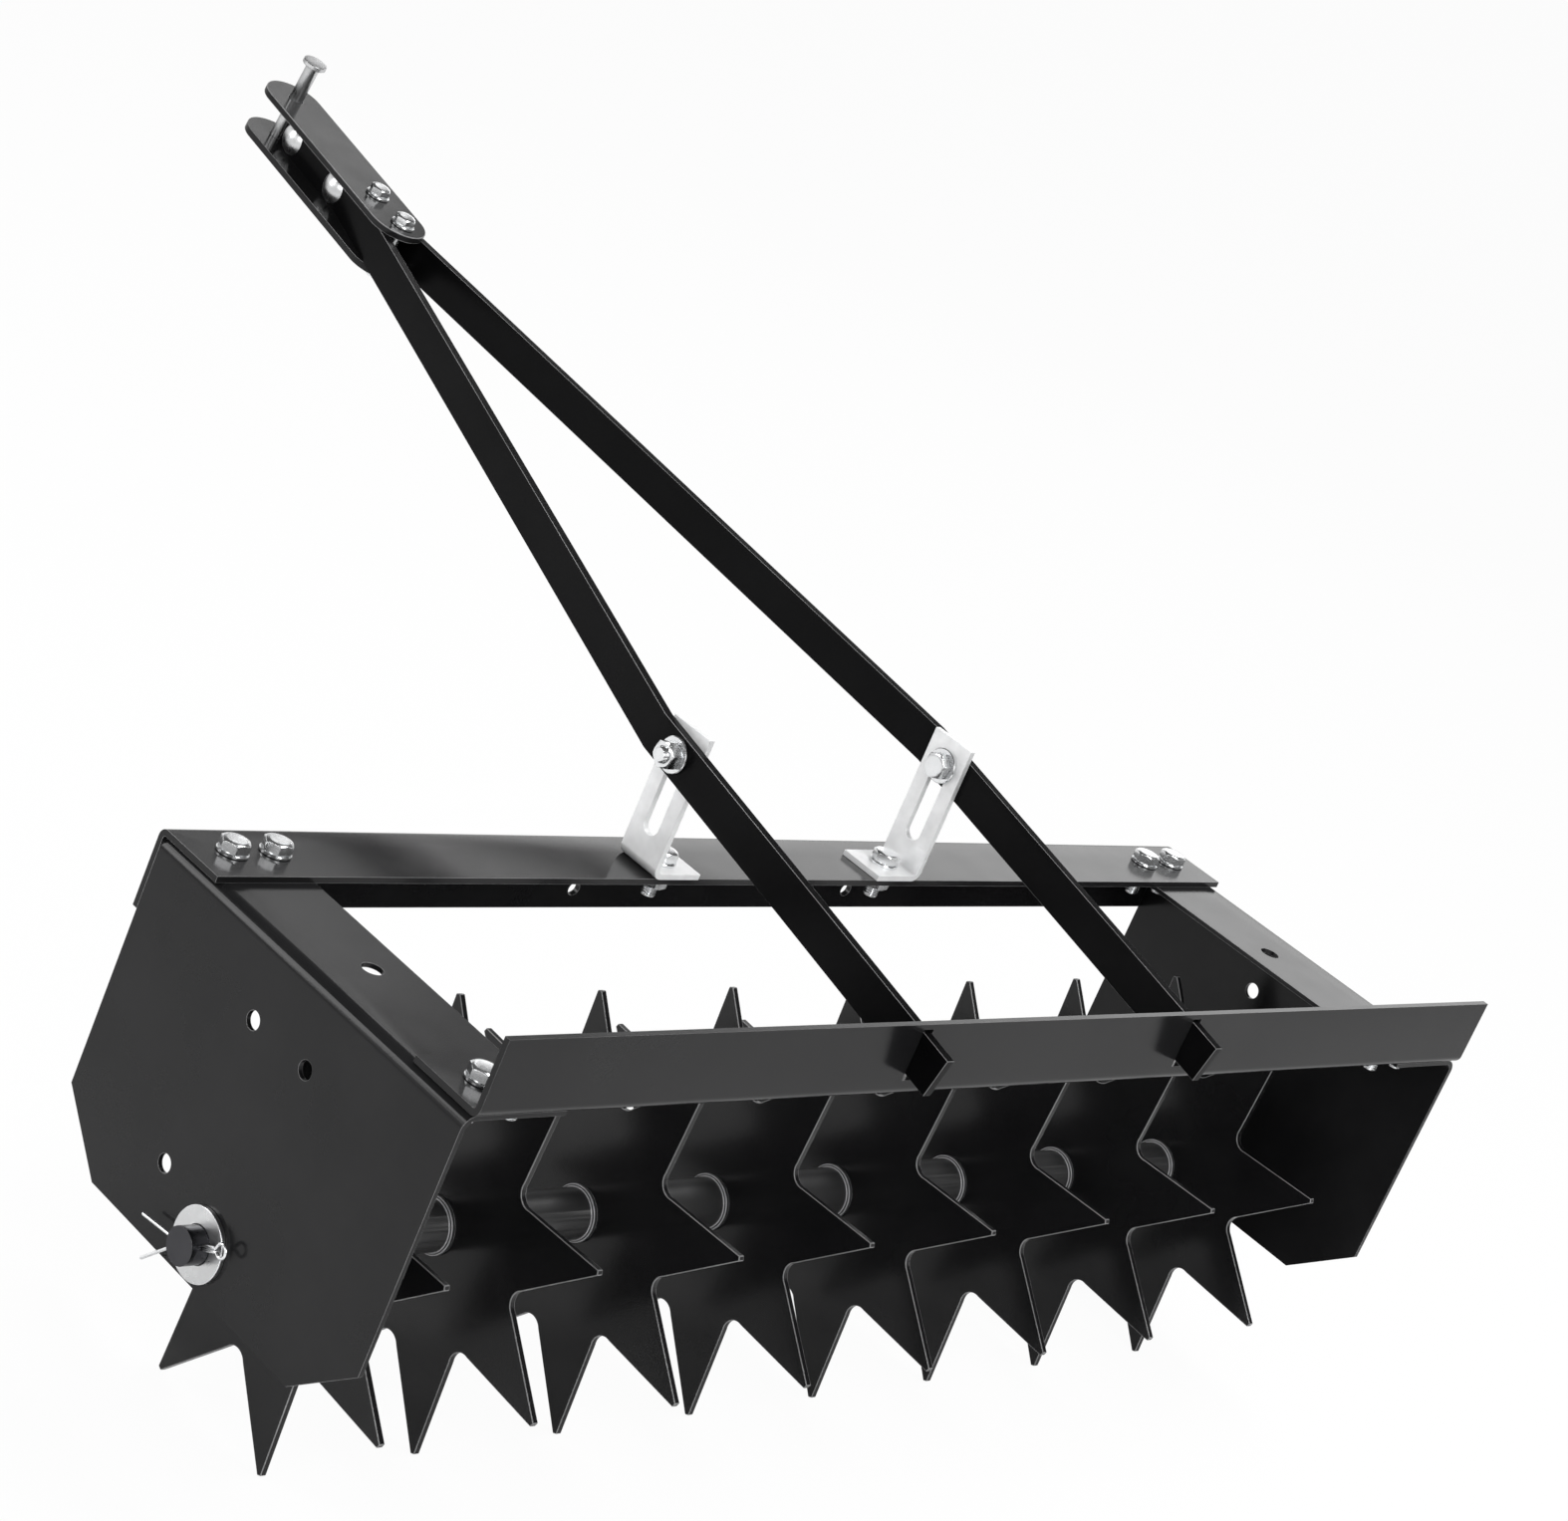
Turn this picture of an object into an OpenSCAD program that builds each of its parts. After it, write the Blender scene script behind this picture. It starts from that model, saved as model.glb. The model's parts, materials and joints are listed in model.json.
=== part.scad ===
// Towed spike aerator: eight eight-pointed star wheels on a cross axle, carried by two
// bent end plates and two steel angles, with a V drawbar and a pin hitch.
// Millimetres. X runs along the axle, +Y points to the hitch, +Z is up.
// The origin is on the ground, under the middle of the whole machine.

/* [Frame] */
// Width over the outer faces of the two end plates
frame_width = 900; // [760:10:1200]
// Front to back depth of an end plate
plate_depth = 280; // [260:5:340]
// Height of an end plate
plate_height = 195; // [185:5:230]
// Sheet thickness of the end plates
plate_t = 3; // [2:0.5:4]
// Outside radius of the bend between an end plate and its top flange
plate_bend_r = 9; // [6:1:14]
// Width of the top flange of an end plate, from the outer face
flange_w = 70; // [66:1:90]
// Length of each cut bottom corner along the bottom edge
corner_run = 44; // [20:2:60]
// Height of each cut bottom corner
corner_rise = 37; // [20:1:50]
// Depth of the axle centre below the top of the frame
axle_drop = 171; // [165:1:180]

/* [Cross angles] */
// Distance of each end of the rear cross angle from the outer face of its end plate
rear_short = 4; // [0:1:14]
// Distance of each end of the front cross angle from the outer face of its end plate
front_short = 0; // [0:1:14]
// Width of the flat leg of a cross angle
angle_flat = 55; // [50:1:60]
// Height of the rear cross angle's upright leg
rear_leg = 47; // [46:1:70]
// Height of the front cross angle's hanging leg
front_leg = 50; // [40:1:60]
// Thickness of the cross angles
angle_t = 4; // [3:0.5:4.5]
// Outside radius of the bend of the cross angles
angle_bend_r = 6; // [5:0.5:8]
// Distance of the hole pair in the hanging leg from the middle
front_hole_x = 124; // [60:1:200]
// Diameter of the hole pair in the hanging leg
front_hole_d = 9; // [6:0.5:11]
// Height of the hole pair above the lower edge of the hanging leg
front_hole_edge = 13; // [8:1:24]

/* [Plate holes] */
// Diameter of the spare holes in the face of an end plate
face_hole_d = 11; // [8:0.5:13]
// Half the spacing of the upper pair of face holes
face_pair_y = 24.5; // [18:0.5:40]
// Depth of the upper pair of face holes below the top
face_pair_drop = 46; // [40:1:70]
// Distance of the single low face hole ahead of the axle
face_low_y = 48; // [45:1:70]
// Depth of the single low face hole below the top
face_low_drop = 151; // [130:1:155]
// Diameter of the hole in the middle of the top flange
flange_hole_d = 13; // [8:0.5:16]
// Distance of that hole from the inner edge of the flange
flange_hole_edge = 26; // [14:1:40]

/* [Star wheels] */
// Number of star wheels
wheel_count = 8; // [8:8]
// Distance of each end of the row of wheel spaces from the outer face of an end plate
row_inset = 2; // [0:0.5:8]
// Radius from the axle to the spike tips
wheel_r = 132; // [115:1:137]
// Radius from the axle to the bottom of the valleys between spikes
valley_r = 73; // [60:1:80]
// Radius of the rounded valley bottoms
valley_fillet = 9; // [5:0.5:12]
// Width of the blunt end of a spike
tip_w = 3; // [1:0.5:6]
// Thickness of a star wheel
wheel_t = 4; // [3:0.5:8]
// Number of spikes on a star wheel
spikes = 8; // [8:8]

/* [Axle] */
// Diameter of the axle
axle_d = 22; // [18:0.5:24]
// Length of axle outside each washer
axle_stub = 11.5; // [10:0.5:20]
// Outside diameter of the hub tubes
hub_d = 31; // [27:0.5:32]
// Outside diameter of the collar on a hub tube, against its wheel
collar_d = 35; // [33:0.5:40]
// Thickness of the collar
collar_t = 3; // [2:0.5:6]
// Outside diameter of the axle washers
axle_washer_d = 43; // [40:1:50]
// Thickness of the axle washers
axle_washer_t = 3; // [2:0.5:5]
// Shank diameter of the cotter pins
cotter_d = 4; // [3:0.5:5]
// Wire diameter of the cotter pin's eye and legs
cotter_wire = 2; // [1.6:0.1:2.4]
// Straight length of a bent cotter leg
cotter_leg = 32; // [20:1:36]
// Angle that each cotter leg is bent away
cotter_spread = 20; // [10:1:40]
// Length of shank between the axle and the cotter pin's eye
cotter_back = 10; // [3:1:12]
// Angle by which the cotter pins are turned about the axle, legs down
cotter_turn = 27; // [0:1:45]

/* [Drawbar] */
// Height of the drawbar straps
strap_h = 26.5; // [24:0.5:28]
// Thickness of the drawbar straps
strap_t = 6; // [4:0.5:8]
// Clear distance between the straps where they cross the frame
strap_gap = 244; // [200:2:300]
// Upward slope of the drawbar
strap_slope = 11.85; // [9:0.05:12.4]
// Height of the strap's centre line above the frame at the rear face
strap_rise = 28; // [27:0.5:29.5]
// Length of strap standing out behind the rear face
strap_tail = 20; // [15:1:40]
// Angle that the drawbar can be let down
tilt_travel = 11; // [4:0.5:11]

/* [Slotted brackets] */
// Thickness of the slotted brackets
bracket_t = 4; // [3:0.5:5]
// Width of the slotted brackets
bracket_w = 34; // [32:1:36]
// Length of the bracket foot
bracket_foot = 40; // [36:1:46]
// Height of bracket above the slot's upper end
bracket_crown = 20; // [12:1:26]
// Outside bend radius of the brackets
bracket_bend_r = 7; // [6:0.5:8]
// Width of the bracket slot
slot_w = 12.8; // [11.8:0.1:14]
// Distance of the bracket's middle from the front of the end plate
bracket_setback = 36; // [34:1:40]

/* [Hitch] */
// Width of the hitch plates
hitch_w = 44; // [40:1:50]
// Thickness of the hitch plates
hitch_t = 5; // [4:0.5:8]
// Distance along the drawbar from the rear face to the front of the hitch plates
hitch_front = 969; // [870:1:1100]
// Length of the hitch plates
hitch_len = 191; // [186:1:220]
// Distance of the straps' front ends from the front of the hitch plates
strap_inset = 33; // [32:1:38]
// Distance of the hitch pin from the front of the hitch plates
pin_inset = 23; // [20:1:24]
// Diameter of the hitch pin
pin_d = 10; // [8:0.1:12]
// Length of the hitch pin below its head
pin_len = 64; // [61:1:80]
// Height that the hitch pin stands drawn up from its seat
pin_lift = 28; // [5:1:30]
// Diameter of the hitch pin's head
pin_head_d = 17.5; // [15:0.5:22]
// Thickness of the hitch pin's head
pin_head_h = 3.5; // [3:0.5:8]

/* [Fasteners] */
// Diameter of the frame and bracket bolts
bolt_d = 10; // [8:0.5:10]
// Width across flats of the frame and bracket bolts
bolt_af = 16; // [14:1:17]
// Length of the frame and bracket bolts below their heads
bolt_len = 25; // [20:1:40]
// Outside diameter of the washers under their heads
frame_washer_d = 19; // [18.5:0.5:24]
// Outside diameter of the washers on the strap bolts
strap_washer_d = 23; // [20:0.5:24]
// Diameter of the hitch bolts
small_bolt_d = 8; // [6:0.5:8]
// Width across flats of the hitch bolts
small_bolt_af = 13; // [11:1:14]
// Diameter of the washers under the hitch bolts
small_washer_d = 17; // [15:0.5:19]
// Spacing of the two hitch bolts
hitch_bolt_pitch = 35; // [28:1:36]
// Diameter of the round carriage bolt heads
carriage_head_d = 22; // [18:1:23]
// Spacing of the two carriage bolts
carriage_pitch = 59; // [50:1:64]
// Gap between the carriage bolt heads and the lower hitch plate
carriage_gap = 0.4; // [0.3:0.1:4]
// Thickness of all washers
washer_t = 2; // [1:0.5:2.5]
// Distance of the bolt line from the end of an end plate
bolt_line = 25; // [23:1:28]
// Distance of the outer frame bolt from the end plate's outer face
bolt_outer = 28; // [28:1:30]
// Spacing of the two frame bolts in a corner
bolt_pair = 30; // [24:1:32]

/* [Clearances] */
// Radial clearance of the hub tubes on the axle
run_clear = 0.1; // [0.05:0.01:0.1]
// Gap between parts that move past each other
slide_gap = 0.3; // [0.2:0.05:0.5]
// Extra diameter of bolt holes
hole_clear = 1; // [0.5:0.1:1.5]
// Extra diameter of the hitch pin's holes
pin_clear = 0.8; // [0.3:0.1:1.2]
// Gap on each side of a strap in its slot
slot_side = 1; // [0.5:0.1:1.5]
// Gap above a strap in its slot
slot_above = 1.4; // [1:0.1:2]
// Gap below a strap in its slot
slot_below = 4; // [2:0.5:9]

/* [Hidden] */
$fn = 64;
wheel_names = [for (k = [1 : wheel_count]) k];

steel_black = [0.06, 0.06, 0.065];
zinc = [0.75, 0.76, 0.78];

// Half angle between two spikes, which is also the turn from straight down to each of
// the two tips that a wheel stands on
half_pitch = 180 / spikes;
axle_z = wheel_r * cos(half_pitch) + tip_w / 2 * sin(half_pitch);
frame_top = axle_z + axle_drop;
half_w = frame_width / 2;
wheel_pitch = (frame_width - 2 * row_inset) / wheel_count;
half_depth = plate_depth / 2;
rear_y = -half_depth - angle_t;
front_y = half_depth + angle_t;

// Bolt sizes that follow the bolt diameter
head_h = 0.64 * bolt_d;
nut_h = 0.8 * bolt_d;
small_head_h = 0.64 * small_bolt_d;
small_nut_h = 0.8 * small_bolt_d;
thread_out = 3;
small_thread_out = 1;
bolt_hole = bolt_d + hole_clear;
small_hole = small_bolt_d + hole_clear;
thread_clear = 0.2;

bolt_xs = [half_w - bolt_outer, half_w - bolt_outer - bolt_pair];
bolt_y = half_depth - bolt_line;

// Drawbar: distances along the strap are called s, heights across it are called n
strap_x = strap_gap / 2;
bracket_y = half_depth - bracket_setback;
strap_bolt_s = (bracket_y - rear_y) / cos(strap_slope);
pivot_back = 6;
pivot_y = rear_y - pivot_back;
strap_bolt_z = strap_rise + (bracket_y - rear_y) * tan(strap_slope);
pivot_arm = bracket_y - pivot_y;
tilt_drop = pivot_arm * tan(tilt_travel / 2) * 2;
pivot_z = strap_bolt_z - tilt_drop / 2;
bolt_bow = pivot_arm * (1 / cos(tilt_travel / 2) - 1);
slot_y = bracket_y + bolt_bow / 2;
bend_gap = 1;
bend_rear = strap_bolt_s + (bolt_bow / 2 + bracket_w / 2 + bend_gap) / cos(strap_slope)
    + strap_h / 2 * tan(strap_slope);
slot_top = strap_bolt_z + bolt_d / 2 + slide_gap - slot_w / 2;
slot_bottom = strap_bolt_z - tilt_drop - bolt_d / 2 - slide_gap + slot_w / 2;
bracket_top = slot_top + bracket_crown;
bracket_face = strap_x - slide_gap;
foot_bolt_x = bracket_face - bracket_foot / 2;

// Slot in the rear angle that the strap passes through, as heights above the frame
slot_high = strap_rise + strap_h / 2 / cos(strap_slope) + angle_t * tan(strap_slope) + slot_above;
slot_low = strap_rise - strap_h / 2 / cos(strap_slope) - slot_below;

// Hitch: the carriage bolts cross the straps ahead of their front bend, and the hitch
// bolts stand between the straps behind it
hitch_back = hitch_front - hitch_len;
pin_at = hitch_front - pin_inset;
strap_end = hitch_front - strap_inset;
carriage_edge = carriage_head_d / 2 + 1.5;
carriage_at = [strap_end - carriage_edge - carriage_pitch, strap_end - carriage_edge];
carriage_n = carriage_head_d / 2 + carriage_gap - strap_h / 2;
bend_front = carriage_at[0] - carriage_head_d / 2 - bend_gap;
strap_bend = atan(strap_x / (bend_front - bend_rear));
hitch_bolt_front = bend_front - (small_bolt_d / 2 + 1.15) / tan(strap_bend);
hitch_bolt_at = [hitch_bolt_front - hitch_bolt_pitch, hitch_bolt_front];

// The whole machine is centred between its tail and the front of its hitch
tail_y = rear_y - strap_tail * cos(strap_slope) - strap_h / 2 * sin(strap_slope);
nose_y = rear_y + hitch_front * cos(strap_slope)
    + (strap_h / 2 + hitch_t) * sin(strap_slope);
mid_y = (tail_y + nose_y) / 2;

module along_x() { rotate([0, 90, 0]) children(); }

module ring(outer_d, inner_d, height) {
    difference() {
        cylinder(d = outer_d, h = height);
        translate([0, 0, -1]) cylinder(d = inner_d, h = height + 2);
    }
}

module hex_prism(across_flats, height) {
    cylinder(d = across_flats / cos(30), h = height, $fn = 6);
}

// Bolt hanging from z = 0 with its head above
module hex_bolt(d, across_flats, head, grip) {
    hex_prism(across_flats, head);
    translate([0, 0, -grip]) cylinder(d = d, h = grip + head / 2);
}

module hex_nut(d, across_flats, height) {
    difference() {
        hex_prism(across_flats, height);
        translate([0, 0, -1]) cylinder(d = d + thread_clear, h = height + 2);
    }
}

// Bent sheet in the XZ plane, extruded along Y: a leg along +X and one along -Z that meet
// in a round bend at the top left
module bent_section(flat, drop, thick, bend_r, depth) {
    translate([0, depth, 0]) rotate([90, 0, 0]) linear_extrude(depth) {
        translate([bend_r, -thick]) square([flat - bend_r, thick]);
        translate([0, -drop]) square([thick, drop - bend_r]);
        translate([bend_r, -bend_r]) difference() {
            circle(r = bend_r);
            circle(r = bend_r - thick);
            translate([0, -2 * bend_r]) square([2 * bend_r, 4 * bend_r]);
            translate([-2 * bend_r, -2 * bend_r]) square([4 * bend_r, 2 * bend_r]);
        }
    }
}

module at_frame_corners() {
    for (side = [-1, 1], end = [-1, 1], x = bolt_xs)
        translate([side * x, end * bolt_y, frame_top + angle_t]) children();
}

// The flange's front edge is cut at 45 degrees to clear the bend of the front angle
angle_relief = angle_bend_r - angle_t + slide_gap;

module end_plate() {
    difference() {
        translate([-half_w, -half_depth, frame_top])
            bent_section(flange_w, plate_height, plate_t, plate_bend_r, plate_depth);
        for (end = [0, 1]) mirror([0, end, 0])
            translate([-half_w - 1, -half_depth, frame_top - plate_height])
                rotate([90, 0, 90]) linear_extrude(plate_t + 2) polygon([
                    [-1, -1], [corner_run, -1], [corner_run, 0], [0, corner_rise],
                    [-1, corner_rise]]);
        translate([-half_w - 1, 0, axle_z])
            along_x() cylinder(d = axle_d + 2 * run_clear, h = plate_t + 2);
        for (y = [-face_pair_y, face_pair_y])
            translate([-half_w - 1, y, frame_top - face_pair_drop])
                along_x() cylinder(d = face_hole_d, h = plate_t + 2);
        translate([-half_w - 1, face_low_y, frame_top - face_low_drop])
            along_x() cylinder(d = face_hole_d, h = plate_t + 2);
        translate([-half_w + front_short - slide_gap, half_depth, frame_top])
            rotate([90, 0, 90]) linear_extrude(flange_w)
                polygon([[-angle_relief - 1, 1], [1, 1], [1, -angle_relief - 1]]);
        translate([-half_w + flange_w - flange_hole_edge, 0, frame_top - plate_t - 1])
            cylinder(d = flange_hole_d, h = plate_t + 2);
        for (x = bolt_xs, end = [-1, 1])
            translate([-x, end * bolt_y, frame_top - plate_t - 1])
                cylinder(d = bolt_hole, h = plate_t + 2);
    }
}

module left_end_plate() { color(steel_black) end_plate(); }

module right_end_plate() { color(steel_black) mirror([1, 0, 0]) end_plate(); }

module angle_bolt_holes() {
    for (side = [-1, 1], x = bolt_xs)
        translate([side * x, 0, -1]) cylinder(d = bolt_hole, h = angle_t + 2);
}

module rear_cross_angle() {
    color(steel_black) difference() {
        translate([rear_short - half_w, rear_y, frame_top]) rotate([180, 0, 90])
            bent_section(angle_flat, rear_leg, angle_t, angle_bend_r,
                         frame_width - 2 * rear_short);
        translate([0, -bolt_y, frame_top]) angle_bolt_holes();
        for (side = [-1, 1])
            translate([side * (strap_x + strap_t / 2), rear_y + angle_t / 2,
                       frame_top + (slot_low + slot_high) / 2])
                cube([strap_t + 2 * slot_side, 2 * angle_t, slot_high - slot_low],
                     center = true);
    }
}

module front_cross_angle() {
    color(steel_black) difference() {
        translate([front_short - half_w, front_y, frame_top + angle_t]) rotate([0, 0, -90])
            bent_section(angle_flat, front_leg, angle_t, angle_bend_r,
                         frame_width - 2 * front_short);
        translate([0, bolt_y, frame_top]) angle_bolt_holes();
        for (side = [-1, 1]) {
            translate([side * foot_bolt_x, bracket_y, frame_top - 1])
                cylinder(d = bolt_hole, h = angle_t + 2);
            translate([side * front_hole_x, front_y - angle_t - 1,
                       frame_top + angle_t - front_leg + front_hole_edge])
                rotate([-90, 0, 0]) cylinder(d = front_hole_d, h = angle_t + 2);
        }
    }
}

module frame_bolts() {
    color(zinc) at_frame_corners() translate([0, 0, washer_t])
        hex_bolt(bolt_d, bolt_af, head_h, bolt_len);
}

module frame_washers() {
    color(zinc) at_frame_corners() ring(frame_washer_d, bolt_hole, washer_t);
}

module frame_nuts() {
    color(zinc) at_frame_corners() translate([0, 0, -angle_t - plate_t - nut_h])
        hex_nut(bolt_d, bolt_af, nut_h);
}

// Axle and its ends
washer_out = half_w + axle_washer_t;
axle_half = washer_out + axle_stub;
cotter_x = washer_out + cotter_d / 2 + 2;

module at_cotter() {
    translate([-cotter_x, 0, axle_z]) rotate([-cotter_turn, 0, 0]) children();
}

module axle() {
    color(zinc) difference() {
        translate([-axle_half, 0, axle_z]) along_x() cylinder(d = axle_d, h = 2 * axle_half);
        for (side = [0, 1]) mirror([side, 0, 0]) at_cotter() rotate([90, 0, 0])
            cylinder(d = cotter_d, h = 2 * axle_d, center = true);
    }
}

module axle_washer() {
    color(zinc) translate([-washer_out, 0, axle_z]) along_x()
        ring(axle_washer_d, axle_d + 2 * run_clear, axle_washer_t);
}

module axle_washer_left() { axle_washer(); }

module axle_washer_right() { mirror([1, 0, 0]) axle_washer(); }

// Split pin: an eye behind the axle, a shank through it and two legs bent apart ahead
module cotter_pin() {
    eye_r = cotter_d;
    color(zinc) at_cotter() {
        translate([0, axle_d / 2 + 1, 0]) rotate([90, 0, 0])
            cylinder(d = cotter_d, h = axle_d + cotter_back + 1);
        translate([0, -axle_d / 2 - cotter_back - eye_r - cotter_wire / 2, 0]) along_x()
            rotate_extrude() translate([eye_r, 0]) circle(d = cotter_wire);
        for (turn = [-1, 1])
            translate([0, axle_d / 2, turn * (cotter_d - cotter_wire) / 2])
                rotate([turn * cotter_spread - 90, 0, 0])
                    cylinder(d = cotter_wire, h = cotter_leg);
    }
}

module cotter_pin_left() { cotter_pin(); }

module cotter_pin_right() { mirror([1, 0, 0]) cotter_pin(); }

// Star wheel: the spike's straight sides end just inside the round valley bottoms, nearly
// tangent to them
function wheel_x(k) = (k - (wheel_count + 1) / 2) * wheel_pitch;
valley_c = valley_r + valley_fillet;
valley_u = valley_c * cos(half_pitch) - wheel_r;
valley_v = valley_c * sin(half_pitch) - tip_w / 2;
side_reach = valley_fillet * cos(10);
spike_taper = atan2(valley_u, valley_v)
    + acos(side_reach / sqrt(valley_u * valley_u + valley_v * valley_v));
side_u = valley_c * cos(half_pitch) - side_reach * sin(spike_taper);
side_v = valley_c * sin(half_pitch) - side_reach * cos(spike_taper);

function turned(u, v, a) = [u * cos(a) - v * sin(a), u * sin(a) + v * cos(a)];

star_outline = [for (i = [0 : spikes - 1], p = [
        [side_u, -side_v, 0], [wheel_r, -tip_w / 2, 0], [wheel_r, tip_w / 2, 0],
        [side_u, side_v, 0], [valley_c, 0, half_pitch]])
    turned(p[0], p[1], i * 2 * half_pitch + p[2])];

module star_wheel(k) {
    color(steel_black) translate([wheel_x(k) - wheel_t / 2, 0, axle_z])
        rotate([90, 0, 90]) rotate([0, 0, half_pitch]) difference() {
            linear_extrude(wheel_t) polygon(star_outline);
            for (i = [0 : spikes - 1]) rotate([0, 0, (2 * i + 1) * half_pitch])
                translate([valley_c, 0, -1]) cylinder(r = valley_fillet, h = wheel_t + 2);
            translate([0, 0, -1]) cylinder(d = axle_d + 2 * run_clear, h = wheel_t + 2);
        }
}

// Hub tube on the left side of its wheel, up to the wheel or plate before it
module hub_tube(k) {
    left = k == 1 ? -half_w + plate_t : wheel_x(k - 1) + wheel_t / 2;
    right = wheel_x(k) - wheel_t / 2;
    color(steel_black) {
        translate([left + slide_gap, 0, axle_z]) along_x()
            ring(hub_d, axle_d + 2 * run_clear, right - left - slide_gap);
        translate([right - collar_t, 0, axle_z]) along_x()
            ring(collar_d, hub_d - 2, collar_t);
    }
}

module end_spacer() {
    left = wheel_x(wheel_count) + wheel_t / 2 + slide_gap;
    color(steel_black) translate([left, 0, axle_z]) along_x()
        ring(hub_d, axle_d + 2 * run_clear, half_w - plate_t - left);
}

// Slotted bracket on the right, with its foot turned inwards
module slotted_bracket() {
    color(zinc) difference() {
        translate([bracket_face, slot_y - bracket_w / 2, frame_top + angle_t])
            rotate([0, 180, 0])
            bent_section(bracket_foot, bracket_top - angle_t, bracket_t, bracket_bend_r,
                         bracket_w);
        translate([bracket_face - bracket_t - 1, slot_y, frame_top]) {
            for (z = [slot_bottom, slot_top])
                translate([0, 0, z]) along_x() cylinder(d = slot_w, h = bracket_t + 2);
            translate([0, -slot_w / 2, slot_bottom])
                cube([bracket_t + 2, slot_w, slot_top - slot_bottom]);
        }
        translate([foot_bolt_x, bracket_y, frame_top + angle_t - 1])
            cylinder(d = bolt_hole, h = bracket_t + 2);
    }
}

module slotted_bracket_left() { mirror([1, 0, 0]) slotted_bracket(); }

module slotted_bracket_right() { slotted_bracket(); }

module at_feet() {
    for (side = [-1, 1])
        translate([side * foot_bolt_x, bracket_y, frame_top + angle_t + bracket_t]) children();
}

module bracket_bolts() {
    color(zinc) at_feet() translate([0, 0, washer_t])
        hex_bolt(bolt_d, bolt_af, head_h, bolt_len);
}

module bracket_washers() { color(zinc) at_feet() ring(frame_washer_d, bolt_hole, washer_t); }

module bracket_nuts() {
    color(zinc) at_feet() translate([0, 0, -bracket_t - angle_t - nut_h])
        hex_nut(bolt_d, bolt_af, nut_h);
}

// Places a child, drawn with s along Y and n along Z, on the sloping drawbar
module on_drawbar() {
    translate([0, rear_y, frame_top + strap_rise]) rotate([strap_slope, 0, 0]) children();
}

module drawbar_strap() {
    lean = strap_t * tan(strap_bend / 2);
    color(steel_black) on_drawbar() difference() {
        translate([0, 0, -strap_h / 2]) linear_extrude(strap_h) polygon([
            [strap_x, -strap_tail], [strap_x, bend_rear], [0, bend_front], [0, strap_end],
            [strap_t, strap_end], [strap_t, bend_front + lean],
            [strap_x + strap_t, bend_rear + lean], [strap_x + strap_t, -strap_tail]]);
        translate([strap_x - 1, strap_bolt_s, 0])
            along_x() cylinder(d = bolt_hole, h = strap_t + 2);
        for (s = carriage_at)
            translate([-1, s, carriage_n]) along_x() cylinder(d = small_hole, h = strap_t + 2);
    }
}

module drawbar_strap_left() { mirror([1, 0, 0]) drawbar_strap(); }

module drawbar_strap_right() { drawbar_strap(); }

// The strap bolts have their heads inside the brackets and their nuts outside
strap_bolt_in = bracket_face - bracket_t - slide_gap - washer_t;

module at_strap_bolts() {
    for (side = [0, 1]) mirror([side, 0, 0]) on_drawbar()
        translate([0, strap_bolt_s, 0]) along_x() children();
}

module strap_bolts() {
    color(zinc) at_strap_bolts() translate([0, 0, strap_bolt_in]) rotate([180, 0, 0])
        hex_bolt(bolt_d, bolt_af, head_h,
                 strap_x + strap_t + washer_t + nut_h + thread_out - strap_bolt_in);
}

module strap_washers() {
    color(zinc) at_strap_bolts() {
        translate([0, 0, strap_bolt_in]) ring(strap_washer_d, bolt_hole, washer_t);
        translate([0, 0, strap_x + strap_t]) ring(strap_washer_d, bolt_hole, washer_t);
    }
}

module strap_nuts() {
    color(zinc) at_strap_bolts() translate([0, 0, strap_x + strap_t + washer_t])
        hex_nut(bolt_d, bolt_af, nut_h);
}

module hitch_plate(n) {
    color(steel_black) on_drawbar() translate([0, 0, n]) difference() {
        union() {
            translate([-hitch_w / 2, hitch_back + hitch_w / 2, 0])
                cube([hitch_w, hitch_front - hitch_back - hitch_w, hitch_t]);
            for (s = [hitch_back + hitch_w / 2, hitch_front - hitch_w / 2])
                translate([0, s, 0]) cylinder(d = hitch_w, h = hitch_t);
        }
        translate([0, pin_at, -1]) cylinder(d = pin_d + pin_clear, h = hitch_t + 2);
        for (s = hitch_bolt_at)
            translate([0, s, -1]) cylinder(d = small_hole, h = hitch_t + 2);
    }
}

module upper_hitch_plate() { hitch_plate(strap_h / 2); }

module lower_hitch_plate() { hitch_plate(-strap_h / 2 - hitch_t); }

module at_carriage_bolts() {
    on_drawbar() for (s = carriage_at)
        translate([0, s, carriage_n]) along_x() children();
}

// Round low heads on the left strap, nuts on the right one
module carriage_bolts() {
    head_rise = carriage_head_d / 5;
    dome_r = (carriage_head_d * carriage_head_d / 4 + head_rise * head_rise)
        / (2 * head_rise);
    color(zinc) at_carriage_bolts() {
        translate([0, 0, -strap_t]) cylinder(
            d = small_bolt_d, h = 2 * strap_t + washer_t + small_nut_h + thread_out);
        translate([0, 0, -strap_t]) intersection() {
            translate([0, 0, dome_r - head_rise]) sphere(r = dome_r);
            translate([0, 0, -head_rise]) cylinder(d = carriage_head_d, h = head_rise);
        }
    }
}

module carriage_nuts() {
    color(zinc) at_carriage_bolts() translate([0, 0, strap_t]) {
        ring(small_washer_d, small_hole, washer_t);
        translate([0, 0, washer_t]) hex_nut(small_bolt_d, small_bolt_af, small_nut_h);
    }
}

module at_hitch_bolts() {
    on_drawbar() for (s = hitch_bolt_at)
        translate([0, s, strap_h / 2 + hitch_t]) children();
}

hitch_grip = strap_h + 2 * hitch_t;

module hitch_bolts() {
    color(zinc) at_hitch_bolts() translate([0, 0, washer_t])
        hex_bolt(small_bolt_d, small_bolt_af, small_head_h,
                 hitch_grip + washer_t + small_nut_h + small_thread_out);
}

module hitch_washers() {
    color(zinc) at_hitch_bolts() ring(small_washer_d, small_hole, washer_t);
}

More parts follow.
